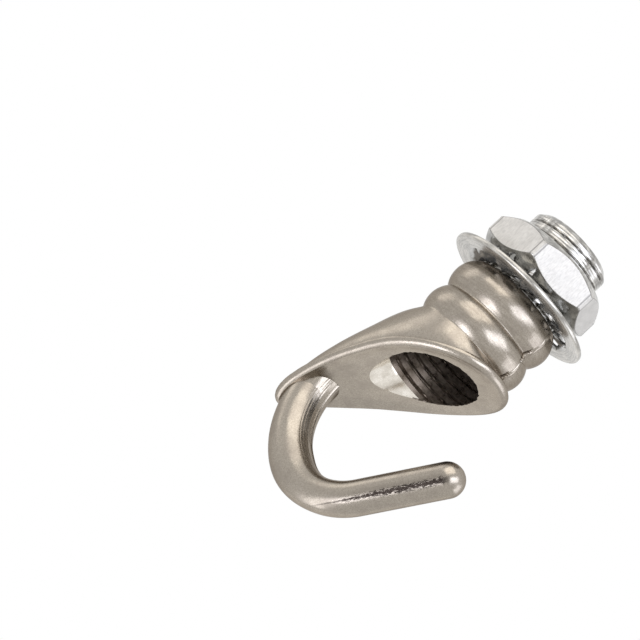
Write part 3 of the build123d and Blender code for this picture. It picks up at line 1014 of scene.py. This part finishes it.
# One tooth starts as a cube of side 1: X runs along the tooth, Y across, Z through it
block = add(washer_tree, "GeometryNodeMeshCube",
            {"Size": (1, 1, 1), "Vertices X": 26, "Vertices Y": 12, "Vertices Z": 5}).outputs["Mesh"]
where = add(washer_tree, "GeometryNodeInputPosition")
spot = add(washer_tree, "ShaderNodeSeparateXYZ", [where])
along = add(washer_tree, MATH, [spot.outputs["X"], 0.5], operation="ADD")
bend = add(washer_tree, RANGE, [along, 0.22, 0.62], interpolation_type="SMOOTHSTEP")
fade = add(washer_tree, RANGE, [along, 0.25, 0.85], interpolation_type="SMOOTHSTEP")
count = add(washer_tree, "GeometryNodePoints", {"Count": given["Teeth"]})
number = add(washer_tree, "GeometryNodeInputIndex")
print("washer tree nodes so far:", len(washer_tree.nodes))

# %% Rule of one tooth
# The sums, as in the thread's tree. The tooth narrows from a flared root, its edges are a
# little rounded, and it twists and lifts bit by bit. "out" keeps its end on a circle.
made = dict(given.items()) | dict(spot.outputs.items())
made |= {"along": along, "bend": bend, "fade": fade, "number": number}
for name, operation, *terms in (
        ("root r", "MULTIPLY", "Thickness", 1.4),
        ("root r", "ADD", "Rim Inner Radius", "root r"),
        ("reach", "SUBTRACT", "root r", "Bore Radius"),
        ("reach", "MULTIPLY", "along", "reach"),
        ("reach", "SUBTRACT", "root r", "reach"),
        ("width", "SUBTRACT", 1, "fade"),
        ("width", "MULTIPLY", "Root Flare", "width"),
        ("width", "ADD", "Tooth Width", "width"),
        ("edge", "MULTIPLY", "Z", 2),
        ("edge", "ABSOLUTE", "edge"),
        ("edge", "POWER", "edge", 6),
        ("edge", "SUBTRACT", 1, "edge"),
        ("narrow", "MULTIPLY_ADD", "edge", 0.06, 0.94),
        ("across", "MULTIPLY", "Y", "width"),
        ("across", "MULTIPLY", "across", "narrow"),
        ("thick", "MULTIPLY_ADD", "bend", 0.02, 0.97),
        ("thick", "MULTIPLY", "Thickness", "thick"),
        ("thick", "MULTIPLY", "Z", "thick"),
        ("twist", "RADIANS", "Twist"),
        ("twist", "MULTIPLY", "twist", "bend"),
        ("cosine", "COSINE", "twist"),
        ("sine", "SINE", "twist"),
        ("side", "MULTIPLY", "across", "cosine"),
        ("shift", "MULTIPLY", "thick", "sine"),
        ("side", "SUBTRACT", "side", "shift"),
        ("up", "MULTIPLY", "across", "sine"),
        ("shift", "MULTIPLY", "thick", "cosine"),
        ("up", "ADD", "up", "shift"),
        ("lift", "MULTIPLY_ADD", "Tooth Lift", "bend", "Ring Height"),
        ("up", "ADD", "up", "lift"),
        ("out", "MULTIPLY", "reach", "reach"),
        ("side squared", "MULTIPLY", "side", "side"),
        ("out", "SUBTRACT", "out", "side squared"),
        ("out", "SQRT", "out"),
        ("step", "DIVIDE", 2 * math.pi, "Teeth"),
        ("first", "RADIANS", "First Tooth"),
        ("turn", "MULTIPLY_ADD", "number", "step", "first"),
        ("middle", "ADD", "Outer Radius", "Rim Inner Radius"),
        ("middle", "MULTIPLY", "middle", 0.5),
        ("rim width", "SUBTRACT", "Outer Radius", "Rim Inner Radius")):
    terms = [made[term] if isinstance(term, str) else term for term in terms]
    made[name] = add(washer_tree, MATH, terms, operation=operation)
print("washer tree nodes with the rule:", len(washer_tree.nodes))

# %% Teeth and rim
bent = add(washer_tree, "ShaderNodeCombineXYZ", [made["out"], made["side"], made["up"]])
tooth = add(washer_tree, "GeometryNodeSetPosition", {"Geometry": block, "Position": bent})
facing = add(washer_tree, "ShaderNodeCombineXYZ", {"Z": made["turn"]})
teeth = add(washer_tree, "GeometryNodeInstanceOnPoints",
            {"Points": count, "Instance": tooth, "Rotation": facing})
path = add(washer_tree, "GeometryNodeCurvePrimitiveCircle", {"Radius": made["middle"], "Resolution": 180})
section = add(washer_tree, "GeometryNodeCurvePrimitiveQuadrilateral",
              {"Width": made["rim width"], "Height": given["Thickness"]})
section = add(washer_tree, "GeometryNodeFilletCurve",
              {"Curve": section, "Radius": given["Edge Radius"], "Count": 4}, mode="POLY")
rim = add(washer_tree, "GeometryNodeCurveToMesh", {"Curve": path, "Profile Curve": section})
level = add(washer_tree, "ShaderNodeCombineXYZ", {"Z": given["Ring Height"]})
rim = add(washer_tree, "GeometryNodeTransform", {"Geometry": rim, "Translation": level})

# A Join node takes all its parts in one input, so the teeth are linked to it as well
both = add(washer_tree, "GeometryNodeJoinGeometry", [rim])
washer_tree.links.new(teeth.outputs[0], both.inputs[0])
plain = add(washer_tree, "GeometryNodeRealizeInstances", [both])
painted = add(washer_tree, "GeometryNodeSetMaterial", {"Geometry": plain, "Material": given["Material"]})
add(washer_tree, "NodeGroupOutput", {"Ring": painted})
print("washer tree nodes:", len(washer_tree.nodes))

# %% Washer
washer = grown("toothed_washer_steel", washer_tree, {}, {}, zinc_washer)
soften(washer, 40)
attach(washer, "toothed_washer")
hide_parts("toothed_washer")
print("washer faces:", len(washer.data.polygons))

# %% [markdown]
# ## Lock nut
# A hexagon whose corners were turned off to a cone at both faces, so that each flat ends
# in two curved edges. A Boolean of prism and cones would give knife edges that need bevels.
# Instead its outside is one radius at each angle and height: the smaller of the hexagon's
# and the cone's, rounded where they meet, with a narrow strip along each corner.

# %% Sizes and rules of the nut
nut_low, nut_high, nut_face_r, nut_flat_r, nut_top_r = 1.65, 5.85, 5.9, 6.5, 6.22
nut_land_r = nut_face_r - 0.3
nut_turn, nut_slope = math.radians(-6.0), math.tan(math.radians(41.0))
nut_middle, cone_round, corner_round = (nut_low + nut_high) / 2, 0.10, 0.38


def soft_smaller(a, b, width):
    """The smaller of two numbers, rounded where they are nearly equal."""
    h = np.clip(0.5 + 0.5 * (b - a) / width, 0, 1)
    return b + (a - b) * h - width * h * (1 - h)


def flat_radii(angle):
    """How far out each of the six flats lies at an angle."""
    from_flat = [angle - nut_turn - math.pi / 6 - k * math.pi / 3 for k in range(6)]
    return [nut_flat_r / np.maximum(np.cos(off), 0.05) for off in from_flat]


def cone_radius(z):
    """How far out the nearer of the two cones lies at a height."""
    return np.minimum(nut_face_r + (z - nut_low) / nut_slope, nut_top_r + (nut_high - z) / nut_slope)


print("nut from", nut_low, "to", nut_high, "mm, across flats:", 2 * nut_flat_r)

# %% Nut
nut_columns = 720
nut_angles = nut_turn + np.linspace(0, 2 * np.pi, nut_columns, endpoint=False)
hexagon, *others = flat_radii(nut_angles)
for flat in others:
    hexagon = soft_smaller(hexagon, flat, corner_round)


def nut_ring(radius, z):
    """Row of points at a height, with one radius or one for each angle."""
    level = np.full(nut_columns, z)
    return np.stack([radius * np.cos(nut_angles), radius * np.sin(nut_angles), level], axis=1)


# The levels lie close together over the cones and wide apart between them
corner_rise = (nut_flat_r / math.cos(math.pi / 6) - nut_face_r) * nut_slope
levels = np.concatenate([np.linspace(0, corner_rise + 0.1, 44),
                         np.linspace(corner_rise + 0.1, (nut_high - nut_low) / 2, 5)[1:]])
levels = np.concatenate([nut_low + levels, nut_high - levels[::-1][1:]])

# The rows go from the middle of the bore round the outside and back to it, so they need no
# caps. Towards both faces the bore opens by a small sink.
nut_bore_r, sink = 4.95, 0.25
rows = [nut_ring(radius, z) for radius, z in ((nut_bore_r, nut_middle), (nut_bore_r, nut_low + sink),
                                              (nut_bore_r + sink, nut_low), (nut_land_r, nut_low))]
rows += [nut_ring(soft_smaller(hexagon, cone_radius(z), cone_round), z) for z in levels]
rows += [row * [1, 1, -1] + [0, 0, nut_low + nut_high] for row in rows[3::-1]]
nut = skin("hex_nut_steel", rows, capped=False)
print("nut faces:", len(nut.data.polygons))

# %% [markdown]
# The finish paints a fine dark line of shade along each edge of the nut. A shader can't
# find edges by itself, so each point of the mesh stores how near it is to one: to the two
# sides of a corner's strip, or to where a flat meets a cone.

# %% Edges and finishes of the nut
x, y, z = np.array([vertex.co for vertex in nut.data.vertices]).T / mm
nearest, second, *_ = np.sort(flat_radii(np.arctan2(y, x)), axis=0)
on_cone = nearest > cone_radius(z)
corner_share = 0.45  # under 1, which draws the corners' lines wider
strip_gap = corner_share * abs(second - nearest - corner_round) + on_cone
edge_gap = np.minimum(abs(nearest - cone_radius(z)), strip_gap) + (np.hypot(x, y) < nut_land_r)
nut.data.attributes.new("edge_gap", "FLOAT", "POINT").data.foreach_set("value", edge_gap)
for material in (zinc_lower_cone_shaded, zinc_flats, zinc_top):
    nut.data.materials.append(material)
upright, past_bore = 0.35, 6.2 * mm
for face in nut.data.polygons:
    on_flat = abs(face.normal.z) < upright and face.center.xy.length > past_bore
    face.material_index = 1 if on_flat else 2 if face.center.z > nut_middle * mm else 0
soften(nut, 30)
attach(nut, "hex_nut")
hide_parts("hex_nut")
print("nut finishes:", [m.name for m in nut.data.materials])
